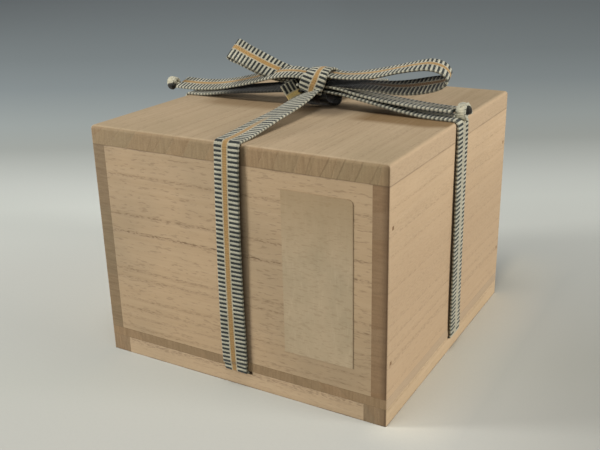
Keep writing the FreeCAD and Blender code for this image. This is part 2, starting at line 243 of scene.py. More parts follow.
# Where the marks and the painted shade lie on the box, in metres
LID_MIDDLE_Z, RING_SLOPE = 0.1155, 0.42
LOW_SHADE_Z = (0.104, 0.060)
RIGHT_CORNER_X = (0.0738, 0.0779)
UNDER_CORD_X = 0.004
IN_FRONT_OF_CORD_Y = (0.001, 0.004)


class Wood(Nodes):
    """A material for wood. grain is the axis that its fibres follow."""

    def __init__(self, name, grain, seed):
        super().__init__(name)
        self.grain = grain
        self.here = self.scaled(self.place(), (1, 1, 1), (seed, seed * 0.7, seed * 1.3))
        self.xyz = self.parts(self.place())
        self.facing = self.parts(self.new("NewGeometry").outputs["Normal"])
        self.wave = self.drawn_out(7.0, 22.0, 2.0)
        self.cloud = self.cells(self.here, 16.0, 3.0, 0.55)

    def drawn_out(self, along, across, detail, rough=0.5, axis=None):
        """Noise drawn out along the grain, or along another axis."""
        axis = self.grain if axis is None else axis
        scale = tuple(along if i == axis else across for i in (X, Y, Z))
        return self.cells(self.here, scale, detail, rough)

    def rings(self, pith, pitch):
        """The number of rings from the pith to here. They aren't evenly wide."""
        across = [self.xyz[i] for i in (X, Y, Z) if i != self.grain]
        reach = self.hypot(*[self.minus(value, centre) for value, centre in zip(across, pith)])
        reach = self.plus(reach, self.times(self.wave, 0.0045))
        uneven = self.noise(reach, 70.0, 1.0, line=True)
        return self.plus(self.math("DIVIDE", reach, pitch), self.times(uneven, 1.7))

    def level_lines(self, lines):
        """Late wood as level lines, each with a height in millimetres and a strength."""
        stops = [(0.0, 0.0)]
        for height, strength in lines:
            centre = height / BOX_TOP_MM
            stops += [(centre - 0.012, 0.0), (centre, strength), (centre + 0.005, 0.0)]
        bent = self.plus(self.xyz[Z], self.times(self.wave, 0.0030))
        return self.ramp(self.math("DIVIDE", bent, BOX_TOP_MM / MM_PER_M), stops)

    def slanting_lines(self, colour, lines):
        """Dark rings at the ends, each with a place in x and a share, and a paler side."""
        lean = self.times(self.minus(self.xyz[Z], LID_MIDDLE_Z), RING_SLOPE)
        slant = self.minus(self.xyz[X], lean)
        slant = self.ragged(slant, self.noise(self.here, 160.0, 2.0), 0.0022)
        for place, share in lines:
            beside = self.times(
                self.span(self.minus(slant, place), 0.0, 0.0035, 0.35 * share, 0.0),
                self.math("GREATER_THAN", slant, place),
            )
            line = self.span(self.apart(slant, place), 0.00015, 0.00055, share, 0.0)
            colour = self.tint(beside, colour, BESIDE_END_LINE)
            colour = self.tint(line, colour, END_LINE)
        return colour

    def end_grain(self, turns, tones, ray, patina, lines, corner):
        """The colour at the ends. wood() says what the words mean."""
        rays = self.drawn_out(110.0, 900.0, 2.0, 0.6, axis=ray)
        late = self.ramp(self.math("FRACT", turns), LATE_WOOD_AT_ENDS)
        band = self.noise(self.math("FLOOR", turns), 3.7, 0.0, line=True)
        grit = self.cells(self.here, 1300.0, 2.0, 0.7)
        colour = self.grade(rays, 0.30, 0.72, *tones)
        if lines:
            colour = self.slanting_lines(colour, lines)
        colour = self.tint(self.times(self.span(band, 0.35, 0.65), 0.30), colour, patina)
        colour = self.tint(self.times(late, 0.13), colour, PORE)
        colour = self.tint(self.times(self.span(grit, 0.5, 0.75), 0.18), colour, PORE)
        colour = self.tint(self.times(self.span(self.cloud, 0.35, 0.7), 0.25), colour, patina)
        # Darker towards the right corner
        if corner:
            edge = self.span(self.xyz[X], *RIGHT_CORNER_X, smooth=True)
            colour = self.tint(self.times(edge, corner), colour, END_CORNER_DARK)
        return colour

    # Painted shade: a dark spot on top, where the knot's shade falls
    def painted_shade_spot(self, colour, x, y, radius, share):
        far = self.hypot(self.minus(self.xyz[X], x), self.minus(self.xyz[Y], y))
        spot = self.times(
            self.span(far, 0.2 * radius, radius, share, 0.0, smooth=True),
            self.span(self.facing[Z], 0.6, 0.9),
        )
        return self.tint(spot, colour, PAINTED_SHADE_DARK)

    # Painted shadow: a dark line on front faces, right of the cord
    def painted_cord_shadow(self, colour, near, far, share):
        ragged = self.ragged(self.xyz[X], self.cloud, 0.0012)
        mark = self.times(
            self.span(ragged, near, far, share, 0.0, smooth=True),
            self.math("GREATER_THAN", self.xyz[X], UNDER_CORD_X),
            self.span(self.facing[Y], -0.95, -0.7, 1.0, 0.0),
        )
        return self.tint(mark, colour, PAINTED_SHADOW_DARK)

    # Painted shadow: a brown band on top, in front of the cord, where the bow's shadow falls
    def painted_shadow_band(self, colour, left, right, front, fade, share):
        bend = self.span(self.xyz[X], right - 0.010, right + 0.002, 0.0, 0.004, smooth=True)
        edge = self.minus(self.ragged(self.xyz[Y], self.cloud, 0.006), bend)
        band = self.times(
            self.span(edge, front, front + fade, smooth=True),
            self.span(self.xyz[Y], *IN_FRONT_OF_CORD_Y, 1.0, 0.0),
            self.span(self.xyz[X], left, left + 0.014, 0.0, share, smooth=True),
            self.span(self.xyz[X], right, right + 0.002, 1.0, 0.0),
            self.span(self.facing[Z], 0.75, 0.95),
        )
        return self.tint(band, colour, PAINTED_SHADOW_BROWN)

    # Painted shade along a joint, on upright faces
    def seam(self, colour, height, width, share):
        off = self.apart(self.xyz[Z], height)
        joint = self.times(
            self.span(off, 0.3 * width, width, share, 0.0),
            self.span(self.cells(self.here, (70.0, 70.0, 1.0)), 0.34, 0.60, 0.35, 1.0),
            self.span(self.math("ABSOLUTE", self.facing[Z]), 0.3, 0.6, 1.0, 0.0),
        )
        return self.tint(joint, colour, JOINT_SHADE)


def wood(name, grain, pith, pitch, face, end, seed, ray=Z, lines=None, line_gain=1.0,
         patina=(120, 112, 92), patina_share=0.35, right_face_shading=None, low_shade_tone=None, end_lines=(),
         corner=0.0, painted_shade=None, cord_shadow=None, shades=(), joint_shades=()):
    """grain is the axis that the fibres follow, pith the ring centre on the other two axes, and
    pitch a ring's width. Lengths are in metres, but for the heights in lines.

    face and end are a pale and a dark tone each, and ray is the axis that the rays run along at
    the ends. lines are level lines in place of the rings, and line_gain how strong the pores are.
    right_face_shading is a tone for the faces that look to the right, painted shading set to how
    light falls on them, and low_shade_tone a painted shade towards the foot. end_lines are slanting
    rings at the ends, and corner is how dark the ends are where they meet the right side. dusk is a
    painted shade spot on
    top: x, y, radius and share. rub is a painted shadow on the front, right of the cord: x from and
    to, and the share. shades are bands of painted shadow on top, in front of the cord: x from and
    to, y where the band fades out, the width of that fade, and the share. seams are painted shade
    along
    joints on upright faces: height, width and share.
    """
    n = Wood(name, grain, seed)
    turns = n.rings(pith, pitch)
    late = n.level_lines(lines) if lines else n.ramp(n.math("FRACT", turns), LATE_WOOD)
    dashes = n.span(n.drawn_out(360.0, 1500.0, 1.5, 0.6), 0.48, 0.56)
    pores = n.times(late, n.plus(n.times(dashes, 0.8), 0.14))
    fibre = n.drawn_out(20.0, 620.0, 4.0, 0.62)
    streak = n.drawn_out(3.2, 75.0, 3.0, 0.6)
    specks = n.span(n.drawn_out(260.0, 1300.0, 1.0), 0.60, 0.70)

    tone = n.plus(n.times(streak, 0.45), n.times(fibre, 0.55))
    colour = n.grade(tone, 0.30, 0.68, *face)
    colour = n.tint(n.times(n.span(n.cloud, 0.42, 0.72), patina_share), colour, patina)
    # Painted shading: a tone on faces that look to the right, and painted shade towards the foot
    if right_face_shading:
        colour = n.tint(n.times(n.span(n.facing[X], 0.45, 0.85), 0.8), colour, right_face_shading)
    if low_shade_tone:
        low = n.span(n.xyz[Z], *LOW_SHADE_Z, 0.0, 0.85, smooth=True)
        colour = n.tint(low, colour, low_shade_tone)
    colour = n.tint(n.times(pores, 0.66 * line_gain), colour, PORE)
    colour = n.tint(n.times(specks, 0.20 * line_gain), colour, PORE)

    is_end = n.span(n.math("ABSOLUTE", n.facing[grain]), 0.55, 0.8)
    colour = n.mix(is_end, colour, n.end_grain(turns, end, ray, patina, end_lines, corner))
    # Painted shade and shadows on top and beside the cord, then painted shade along the joints
    if painted_shade:
        colour = n.painted_shade_spot(colour, *painted_shade)
    if cord_shadow:
        colour = n.painted_cord_shadow(colour, *cord_shadow)
    for shade in shades:
        colour = n.painted_shadow_band(colour, *shade)
    for seam in joint_shades:
        colour = n.seam(colour, *seam)

    relief = n.minus(n.times(fibre, 0.6), n.times(pores, 0.8))
    relief = n.minus(relief, n.times(specks, 0.5))
    rough = n.span(fibre, 0.3, 0.7, 0.62, 0.80)
    return n.finish(colour, rough, n.bump(relief, 0.35, 0.00025), Specular_IOR_Level=0.28)


def bamboo():
    """The pegs: end fibres as fine dark dots in a brown ground."""
    n = Nodes("bamboo_peg")
    here = n.place()
    dots = n.cells(here, 3200.0, 1.0)
    colour = n.grade(n.cells(here, 300.0), 0.35, 0.65, (138, 106, 70), (112, 84, 54))
    colour = n.tint(n.times(n.span(dots, 0.52, 0.66), 0.5), colour, (70, 50, 32))
    return n.finish(colour, 0.6, n.bump(dots, 0.3, 0.0001), Specular_IOR_Level=0.3)


# Each line has a height in millimetres and a strength, each ring a place in x and a share
FRONT_LINES = [
    (18.0, 0.36), (24.0, 0.36), (29.0, 0.42), (34.5, 0.46), (45.5, 0.55), (50.0, 0.60),
    (70.0, 1.0), (79.0, 0.70), (99.0, 0.55),
]
LID_RINGS = [
    (0.0415, 0.30), (0.0490, 0.45), (0.0565, 0.55), (0.0645, 0.55), (0.0715, 0.40),
    (-0.0170, 0.16), (-0.0420, 0.2),
]
# Bands of painted shadow in front of the cord, each: x from and to, y where it fades out, the width
# of that fade, and the share
LID_SHADES = [
    (0.024, 0.0765, -0.0210, 0.0075, 0.74),
    (-0.064, 0.004, -0.0195, 0.010, 0.50),
]
LID_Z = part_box("lid_board")[0][Z]
BASE_LOW, BASE_TOP = (corner[Z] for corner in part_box("base_board"))
# Painted shade along the foot's bottom edge, where it meets the ground
GROUND_CONTACT_SHADE = (0.0, 0.0006, 0.6)
PANEL_END = ((160, 136, 105), (130, 104, 76))
BATTEN = {
    "pith": (0.2, 0.3), "pitch": 0.006, "face": ((192, 168, 134), (174, 150, 117)),
    "end": ((160, 134, 102), (128, 102, 74)), "patina_share": 0.15,
}

DRESSES = [
    # The front: with a painted shadow right of the cord
    (["front_panel"], wood(
        "wood_front", X, pith=(0.35, 0.30), pitch=0.009, face=((185, 159, 126), (173, 147, 114)),
        end=PANEL_END, seed=1.3, lines=FRONT_LINES, line_gain=1.3, cord_shadow=(0.0066, 0.0112, 0.62),
        joint_shades=[(LID_Z, 0.00045, 0.55)],
    )),
    (["back_panel"], wood(
        "wood_back", X, pith=(0.35, -0.12), pitch=0.010, face=((184, 160, 128), (168, 143, 111)),
        end=PANEL_END, seed=4.1, joint_shades=[(LID_Z, 0.00045, 0.55)],
    )),
    (["right_wall"], wood(
        "wood_right", Y, pith=(0.02, 0.42), pitch=0.012, face=((194, 167, 134), (184, 157, 124)),
        end=((142, 113, 81), (124, 95, 65)), seed=2.2, ray=X, line_gain=0.4,
        patina=(152, 130, 102), patina_share=0.25, low_shade_tone=(174, 148, 117), corner=0.66,
        joint_shades=[(LID_Z, 0.00045, 0.45)],
    )),
    (["left_wall"], wood(
        "wood_left", Y, pith=(-0.02, 0.40), pitch=0.017, face=((186, 160, 127), (170, 146, 114)),
        end=((142, 120, 90), (122, 99, 72)), seed=5.7, ray=X, patina=(118, 108, 84),
        joint_shades=[(LID_Z, 0.00045, 0.45)],
    )),
    (["base_board"], wood(
        "wood_base", Y, pith=(0.30, 0.30), pitch=0.011, face=((180, 155, 124), (166, 141, 111)),
        end=((155, 128, 96), (137, 110, 79)), seed=3.4, line_gain=0.4, patina=(128, 112, 84),
        patina_share=0.2, right_face_shading=(168, 146, 119),
        joint_shades=[(BASE_TOP, 0.00035, 0.30), (BASE_LOW, 0.00035, 0.25)],
    )),
    # The lid: painted shade under the knot, and painted shadows right of the cord and in front of
    # it
    (["lid_board"], wood(
        "wood_lid", Y, pith=(-0.10, 0.16), pitch=0.0085, face=((182, 160, 130), (167, 145, 115)),
        end=((156, 130, 96), (141, 115, 83)), seed=6.2, line_gain=0.4, patina=(142, 128, 98),
        right_face_shading=(182, 156, 125), end_lines=LID_RINGS, corner=0.5,
        painted_shade=(0.011, -0.004, 0.019, 0.55), cord_shadow=(0.0080, 0.0124, 0.5), shades=LID_SHADES,
        joint_shades=[(LID_Z, 0.0004, 0.45)],
    )),
    (["foot_strip_left", "foot_strip_right"], wood(
        "wood_foot_side", Y, pith=(0.2, 0.1), pitch=0.006, face=((190, 165, 133), (176, 151, 118)),
        end=((156, 128, 95), (130, 103, 74)), seed=7.7, line_gain=0.4, patina_share=0.15,
        corner=0.5, joint_shades=[GROUND_CONTACT_SHADE],
    )),
    (["foot_strip_front", "foot_strip_back"], wood(
        "wood_foot_front", X, pith=(0.3, 0.2), pitch=0.007, face=((193, 168, 136), (180, 154, 122)),
        end=((140, 114, 84), (108, 84, 58)), seed=8.8, line_gain=0.7, patina_share=0.2,
        joint_shades=[GROUND_CONTACT_SHADE],
    )),
    (["lid_batten_left", "lid_batten_right"], wood("wood_batten_side", Y, seed=9.4, **BATTEN)),
    (["lid_batten_front", "lid_batten_back"], wood("wood_batten_front", X, seed=10.4, **BATTEN)),
    (["corner_pegs", "base_pegs", "foot_pegs", "batten_pegs"], bamboo()),
]


def dress(nodes, material):
    for node in nodes:
        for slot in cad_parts[node].material_slots:
            slot.material = material


for nodes, material in DRESSES:
    dress(nodes, material)


# Label: thin handmade paper with long fibres, through which the wood's pores show a little

AGED_FROM_TOP = 0.034


def label_paper():
    n = Nodes("label_paper")
    here = n.place()
    x, _, z = n.parts(here)
    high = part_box("label_paper")[1]
    long_fibre = n.cells(here, (900.0, 900.0, 110.0), 3.0, 0.6, 1.2)
    cross_fibre = n.cells(here, (110.0, 900.0, 1000.0), 3.0, 0.6, 1.5)
    cloud = n.cells(here, (70.0, 70.0, 50.0), 3.0, 0.6)
    under = n.cells(here, (330.0, 1300.0, 1300.0), 1.5, 0.6)
    colour = n.grade(cloud, 0.3, 0.7, (179, 159, 130), (165, 148, 120))
    colour = n.tint(n.times(n.span(long_fibre, 0.52, 0.70), 0.20), colour, (196, 178, 150))
    colour = n.tint(n.times(n.span(cross_fibre, 0.58, 0.72), 0.30), colour, (140, 118, 88))
    colour = n.tint(n.times(n.span(under, 0.56, 0.66), 0.22), colour, (124, 100, 70))
    aged = n.span(z, high[Z] - AGED_FROM_TOP, high[Z], 0.0, 0.52)
    colour = n.tint(aged, colour, (150, 124, 88))
    # A painted shadow line along the paper's raised right edge
    right_edge_shadow = n.span(n.minus(high[X], x), 0.0002, 0.0006, 0.3, 0.0)
    colour = n.tint(right_edge_shadow, colour, (110, 84, 58))
    relief = n.plus(long_fibre, n.times(cross_fibre, 0.7))
    return n.finish(colour, 0.85, n.bump(relief, 0.4, 0.0001), Specular_IOR_Level=0.2)


dress(["label_paper"], label_paper())


# Flat cord: cream and charcoal bars across, with one plain stripe along it.
# Its UV is metres along the cord, and 0 to 1 across it.

BAR_PITCH = 0.00216
STRIPE_PLACE = 0.452
STRIPE_EDGE, STRIPE_BORDER = (0.078, 0.094), (0.122, 0.138)
SELVEDGE = (0.468, 0.484)
# The last colour is the near-black of painted shade on the cord
PALE_FRAY, DARK_FRAY, PAINTED_SHADE_TONE = (140, 136, 118), (92, 92, 82), (14, 13, 11)


def woven(name, stripe, ground=((186, 182, 162), (164, 161, 142)), night=(48, 52, 50),
          bar_share=0.53, fade=None, shade=None, spread=None):
    """stripe and ground are a light and a dark tone each, and night is the dark bars' colour.

    bar_share is how much of the pitch a dark bar takes. fade is where along the cord the stripe
    ends, as start and end. shade is where painted shade darkens the cord, as start, end, share at
    the start, share at the end. spread is where the bars grow wider apart, as start and factor.
    """
    n = Nodes(name)
    uv = n.new("UVMap").outputs[0]
    along, across, _ = n.parts(uv)
    here = n.place()
    fray = n.cells(here, 1500.0, 3.0, 0.7)
    slow = n.cells(here, 110.0)
    drawn = along
    if spread:
        start, factor = spread
        past = n.math("MAXIMUM", n.minus(along, start), 0.0)
        drawn = n.minus(along, n.times(past, 1.0 - 1.0 / factor))
    turn = n.ragged(n.math("DIVIDE", drawn, BAR_PITCH), fray, 0.22)
    bar_edge = 0.5 * (1.0 - bar_share)
    bar = n.math("PINGPONG", turn, 0.5)
    dark_bar = n.span(bar, bar_edge - 0.055, bar_edge + 0.055, smooth=True)
    off = n.ragged(n.apart(across, STRIPE_PLACE), fray, 0.02)
    in_stripe = n.span(off, *STRIPE_EDGE, 1.0, 0.0)
    by_stripe = n.span(off, *STRIPE_BORDER, 1.0, 0.0)
    if fade:
        left = n.span(n.plus(along, n.times(slow, 0.006)), *fade, 1.0, 0.0)
        in_stripe = n.times(in_stripe, left)
        by_stripe = n.times(by_stripe, left)
    selvedge = n.span(n.apart(across, 0.5), *SELVEDGE)

    cream = n.grade(slow, 0.35, 0.65, *ground)
    cream = n.tint(n.times(n.span(fray, 0.5, 0.75), 0.3), cream, PALE_FRAY)
    dark = n.grade(slow, 0.4, 0.6, night, [0.82 * c for c in night])
    dark = n.tint(n.times(n.span(fray, 0.55, 0.8), 0.35), dark, DARK_FRAY)
    bars = n.mix(dark_bar, cream, dark)
    bars = n.tint(n.times(selvedge, 0.25), bars, ground[1])
    thread = n.cells(uv, (900.0, 42.0, 1.0), 2.0, 0.6)
    middle = n.grade(thread, 0.38, 0.62, *stripe)
    colour = n.mix(by_stripe, bars, n.mix(0.25, cream, middle))
    colour = n.mix(in_stripe, colour, middle)
    # Painted shade along part of the cord
    if shade:
        colour = n.tint(n.span(along, *shade, smooth=True), colour, PAINTED_SHADE_TONE)

    relief = n.plus(n.ribs(turn, 2.0), n.times(n.ribs(across, 26.0), 0.35))
    relief = n.plus(relief, n.times(fray, 0.8))
    normal = n.bump(relief, 0.55, 0.00022)
    return n.finish(
        colour, 0.86, normal, Specular_IOR_Level=0.15, Sheen_Weight=0.12, Sheen_Roughness=0.5
    )


OCHRE_STRIPE = ((172, 137, 86), (146, 115, 70))
CREAM_STRIPE = ((172, 165, 143), (158, 151, 130))

OCHRE = woven("cord_ochre", OCHRE_STRIPE)
OCHRE_FRONT = woven("cord_ochre_front", OCHRE_STRIPE, fade=(0.130, 0.150), spread=(0.134, 1.4))
CREAM = woven("cord_cream", CREAM_STRIPE)
# A lighter copy of the cream cord, with wider pale bars, for the tail: painted light
CREAM_TAIL_LIT = woven("cord_cream_tail_lit", ((176, 169, 147), (162, 155, 134)), bar_share=0.43)
# The left arm: near-black where it runs under the tail, as painted shade
CREAM_LEFT = woven("cord_cream_left", CREAM_STRIPE, shade=(0.120, 0.142, 0.0, 0.93))
# The loop's inner face: the cord's reverse, darkened as painted shade, and near-black by the knot
REVERSE_SHADED = woven(
    "cord_reverse_shaded", ((104, 78, 48), (84, 62, 38)), ((144, 139, 120), (122, 118, 102)),
    (34, 34, 32), 0.60, shade=(0.014, 0.036, 0.95, 0.0),
)
SHADED = woven(
    "cord_shaded", ((38, 29, 20), (32, 24, 17)), ((44, 41, 34), (34, 32, 27)), (14, 14, 13), 0.64
)
# A darker copy of the cord for the fold under the knot: painted shade
FOLDED_SHADED = woven(
    "cord_folded_shaded", ((180, 158, 102), (160, 138, 84)), ((142, 138, 118), (120, 116, 98)),
    (26, 28, 26), 0.62,
)
PALE_END = woven("cord_end_pale", ((198, 192, 168), (182, 176, 152)), bar_share=0.12)
DARK_END = woven(
    "cord_end_dark", ((46, 44, 38), (34, 34, 32)), ((52, 52, 46), (44, 44, 40)), (22, 24, 24), 0.8
)

# The cord's width and thickness in millimetres, and the upper half of its section, as parts of them
WIDTH, THICK = 12.6, 1.3
SECTION = [
    (-0.5, 0.0), (-0.4935, 0.26), (-0.475, 0.44), (-0.445, 0.5), (-0.30, 0.5), (-0.15, 0.5),
    (0.0, 0.5), (0.15, 0.5), (0.30, 0.5), (0.445, 0.5), (0.475, 0.44), (0.4935, 0.26), (0.5, 0.0),
]
CORD_STEPS = 8


def smooth_line(points, resolution):
    """Points read from a curve with these control points."""
    data = bpy.data.curves.new("line", "CURVE")
    data.dimensions = "3D"
    spline = data.splines.new("NURBS")
    spline.points.add(len(points) - 1)
    for place, point in zip(spline.points, points):
        place.co = (*point, 1.0)
    spline.order_u = 3
    spline.use_endpoint_u = True
    spline.resolution_u = resolution
    holder = bpy.data.objects.new("line", data)
    scene.collection.objects.link(holder)
    mesh = bpy.data.meshes.new_from_object(holder)
    found = [v.co.copy() for v in mesh.vertices]
    bpy.data.objects.remove(holder)
    bpy.data.meshes.remove(mesh)
    bpy.data.curves.remove(data)
    return found


def tube(rows, around):
    """Faces between closed rows of points."""
    faces = []
    for low in range(0, (rows - 1) * around, around):
        high = low + around
        for k in range(around):
            m = (k + 1) % around
            faces.append((low + k, low + m, high + m, high + k))
    return faces


def capped_tube(rows, around):
    last = (rows - 1) * around
    return tube(rows, around) + [tuple(range(around))[::-1], tuple(range(last, last + around))]


def mesh_piece(name, points, faces, materials):
    mesh = bpy.data.meshes.new(name)
    mesh.from_pydata(points, [], faces)
    for material in materials:
        mesh.materials.append(material)
    piece = bpy.data.objects.new(name, mesh)
    scene.collection.objects.link(piece)
    return piece


def cord_piece(name, points, faces, places, materials, body):
    piece = mesh_piece(name + "_band", points, faces, materials)
    uv = piece.data.uv_layers.new(name="UVMap")
    for loop in piece.data.loops:
        uv.data[loop.index].uv = places[loop.vertex_index]
    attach(piece, body)
    return piece


def strip(name, rows, body, nodes, material, side=1, flip=False, width=WIDTH, thick=THICK,
          crown=0.0, v_range=(0.0, 1.0), start=0.0, back=None):
    """A flat cord. Each row is x, y, z in millimetres, then its width's turn and lean in degrees.

    side says which way its upper face looks, flip swaps its edges' pattern, and crown lifts its
    middle, in millimetres. v_range is the part of the pattern's width that it shows, start is where
    along the pattern it begins, and back is the material of its lower face. Returns the piece and
    its middle line.
    """
    edges = ([], [])
    for x, y, z, turn, lean in rows:
        turn, lean = math.radians(turn), math.radians(lean)
        wide = Vector((
            math.cos(turn) * math.cos(lean), math.sin(turn) * math.cos(lean), math.sin(lean)
        ))
        for edge, share in zip(edges, (-0.5, 0.5)):
            edge.append((Vector((x, y, z)) + wide * width * share) / MM_PER_M)
    first, second = (smooth_line(edge, CORD_STEPS) for edge in edges)
    middle = [(a + b) / 2 for a, b in zip(first, second)]
    ring = SECTION + [(-across, -depth) for across, depth in SECTION[1:-1]]
    points, places, length = [], [], start
    for i, (a, b, m) in enumerate(zip(first, second, middle)):
        if i:
            length += (m - middle[i - 1]).length
        ahead = middle[min(i + 1, len(middle) - 1)] - middle[max(i - 1, 0)]
        wide = b - a
        out = ahead.cross(wide).normalized() * side
        for across, depth in ring:
            lift = depth * thick / MM_PER_M + crown * (1.0 - (2.0 * across) ** 2) / MM_PER_M
            points.append(m + wide * across + out * lift)
            v = v_range[0] + (across + 0.5) * (v_range[1] - v_range[0])
            places.append((length, 1.0 - v if flip else v))
    faces = capped_tube(len(middle), len(ring))
    if side < 0:
        faces = [face[::-1] for face in faces]
    piece = cord_piece(name, points, faces, places, [material, back or material], body)
    for polygon in piece.data.polygons:
        if len(polygon.vertices) == 4:
            polygon.use_smooth = True
            polygon.material_index = int(polygon.index % len(ring) >= len(ring) // 2)
    if nodes:
        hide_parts(*nodes)
    return piece, middle


# Four arms, each from the foot frame's notch up the wall, over the lid and on to the knot

FRONT_ARM = [
    (0.1, -79.3, 11.7, 4, 0), (0.0, -79.5, 22.0, 7, 0), (-0.2, -79.5, 45.0, 3, 0),
    (0.1, -79.5, 75.0, -1, 0), (0.8, -79.3, 104.0, -2, 0), (1.2, -78.9, 116.0, -1, 0),
    (1.4, -78.75, 120.75, 0, 0), (1.5, -74.5, 120.75, 0, 0), (1.7, -66.0, 121.3, 0, 0),
    (1.8, -54.0, 122.6, 0, 3), (1.8, -42.0, 123.7, 0, 7), (1.7, -30.0, 124.5, 0, 9),
    (1.5, -18.0, 126.0, 0, 11), (1.3, -10.0, 127.1, 0, 16), (1.2, -3.0, 128.1, 2, 21),
    (1.3, 3.0, 128.4, 4, 21),
]
strip("cord_front", FRONT_ARM, "cord", ["cord_front"], OCHRE_FRONT, side=-1, width=13.2)

RIGHT_ARM = [
    (79.1, 4.1, 11.7, 90, 0), (79.3, 3.3, 22.0, 92, 0), (79.3, 2.9, 55.0, 93, 0),
    (79.2, 2.9, 90.0, 92, 0), (79.0, 3.2, 114.0, 91, 0), (78.75, 3.3, 120.75, 90, 0),
    (74.5, 3.4, 120.75, 90, 0), (64.0, 3.7, 120.8, 90, 0), (55.0, 3.9, 121.6, 90, 0),
    (46.0, 4.1, 122.9, 90, 0), (37.0, 4.3, 124.5, 90, 0), (27.0, 4.6, 126.2, 90, 0),
    (17.0, 4.9, 127.8, 90, 0), (6.0, 5.0, 128.6, 90, 0),
]
strip("cord_right", RIGHT_ARM, "cord", ["cord_right"], CREAM, side=-1, flip=True, width=13.6)

BACK_ARM = [
    (1.2, 78.95, 11.7, 0, 0), (1.2, 78.7, 24.0, 0, 0), (1.2, 78.65, 60.0, 0, 0),
    (1.2, 78.65, 100.0, 0, 0), (1.2, 78.7, 116.0, 0, 0), (1.2, 78.75, 120.75, 0, 0),
    (1.2, 74.5, 120.75, 0, 0), (1.2, 66.0, 121.2, 0, 0), (1.2, 50.0, 122.8, 0, 0),
    (1.2, 34.0, 124.9, 0, 0), (1.2, 20.0, 127.0, 0, 0), (1.2, 8.0, 128.6, 0, 0),
]
strip("cord_back", BACK_ARM, "cord", ["cord_back"], OCHRE)

LEFT_ARM = [
    (-78.95, 5.0, 11.7, 90, 0), (-78.7, 5.0, 24.0, 90, 0), (-78.65, 5.0, 60.0, 90, 0),
    (-78.65, 5.0, 100.0, 90, 0), (-78.7, 5.0, 116.0, 90, 0), (-78.75, 4.8, 120.75, 90, 0),
    (-74.5, 4.6, 120.75, 90, 0), (-66.0, 4.4, 121.2, 90, 2), (-54.0, 4.0, 123.6, 90, 6),
    (-40.0, 4.0, 125.5, 90, 10), (-28.0, 4.2, 126.8, 90, 12), (-17.0, 4.8, 128.2, 90, 14),
    (-4.0, 5.0, 129.2, 90, 16),
]
strip("cord_left", LEFT_ARM, "cord", ["cord_left"], CREAM_LEFT)

# Two runs under the base board, in the notches of the foot frame. One passes below the other.

UNDER_Z, LOWER_Z = 7.85, 6.3
UNDER_FRONT_BACK = [
    (0.0, -78.95, 11.7, 0, 0), (0.1, -78.95, 9.4, 0, 0), (0.3, -78.9, UNDER_Z, 0, 0),
    (0.4, -76.8, UNDER_Z, 0, 0), (0.8, -40.0, UNDER_Z, 0, 0), (1.1, 20.0, UNDER_Z, 0, 0),
    (1.2, 76.8, UNDER_Z, 0, 0), (1.2, 78.9, UNDER_Z, 0, 0), (1.2, 78.95, 9.4, 0, 0),
    (1.2, 78.95, 11.7, 0, 0),
]
strip("cord_under_front_back", UNDER_FRONT_BACK, "box", ["cord_under_front_back"], OCHRE)

UNDER_LEFT_RIGHT = [
    (-78.95, 5.0, 11.7, 90, 0), (-78.95, 5.0, 9.4, 90, 0), (-78.9, 5.0, UNDER_Z, 90, 0),
    (-76.8, 5.0, UNDER_Z, 90, 0), (-56.0, 5.0, UNDER_Z, 90, 0), (-16.0, 5.0, LOWER_Z, 90, 0),
    (16.0, 5.0, LOWER_Z, 90, 0), (56.0, 5.0, UNDER_Z, 90, 0), (76.8, 4.6, UNDER_Z, 90, 0),
    (78.9, 4.5, UNDER_Z, 90, 0), (78.95, 4.4, 9.4, 90, 0), (78.95, 4.4, 11.7, 90, 0),
]
strip("cord_under_left_right", UNDER_LEFT_RIGHT, "box", ["cord_under_left_right"], CREAM, side=-1)

# Bow: two loops and two tails, which run on into the knot

RIGHT_LOOP = [
    (7.7, 5.1, 132.5, 90, 8), (15.0, 5.1, 132.2, 90, 8), (24.0, 5.1, 132.1, 90, 9),
    (34.0, 5.1, 132.3, 90, 11), (42.0, 5.1, 132.1, 90, 18), (49.5, 5.0, 132.7, 90, 24),
    (57.0, 4.7, 134.0, 90, 29), (64.5, 4.3, 135.7, 90, 28), (69.9, 3.7, 137.2, 98, 16),
    (71.7, 3.1, 140.3, 103, 10), (68.9, 2.9, 143.6, 103, 15), (62.5, 2.7, 145.1, 103, 15),
    (55.5, 2.8, 143.9, 95, 12), (46.5, 3.2, 141.8, 90, 11), (37.0, 3.7, 139.2, 90, 13),
    (27.0, 4.0, 137.3, 90, 11), (18.0, 4.2, 136.3, 90, 5), (12.0, 4.3, 136.4, 90, 4),
    (7.7, 4.3, 136.8, 90, 5),
]
LEFT_LOOP = [
    (-3.0, 8.4, 131.0, 90, 12), (-9.0, 10.0, 131.2, 90, 14), (-15.0, 10.6, 132.0, 89, 18),
    (-21.0, 9.6, 133.3, 86, 26), (-27.0, 6.6, 135.7, 82, 33), (-32.8, 4.2, 138.8, 80, 37),
    (-38.6, 3.1, 141.4, 82, 37), (-43.2, 3.0, 143.2, 82, 38), (-46.4, 2.9, 144.2, 80, 40),
    (-48.9, 2.4, 145.8, 79, 40), (-47.2, 2.0, 146.9, 79, 40), (-42.8, 1.9, 144.8, 82, 38),
    (-37.6, 2.0, 142.6, 83, 37), (-32.2, 2.9, 140.1, 80, 37), (-27.0, 5.2, 137.2, 81, 33),
    (-21.4, 8.4, 134.6, 86, 26), (-15.4, 10.0, 133.3, 90, 18), (-9.0, 9.6, 132.5, 90, 14),
    (-3.0, 8.4, 132.3, 90, 12),
]
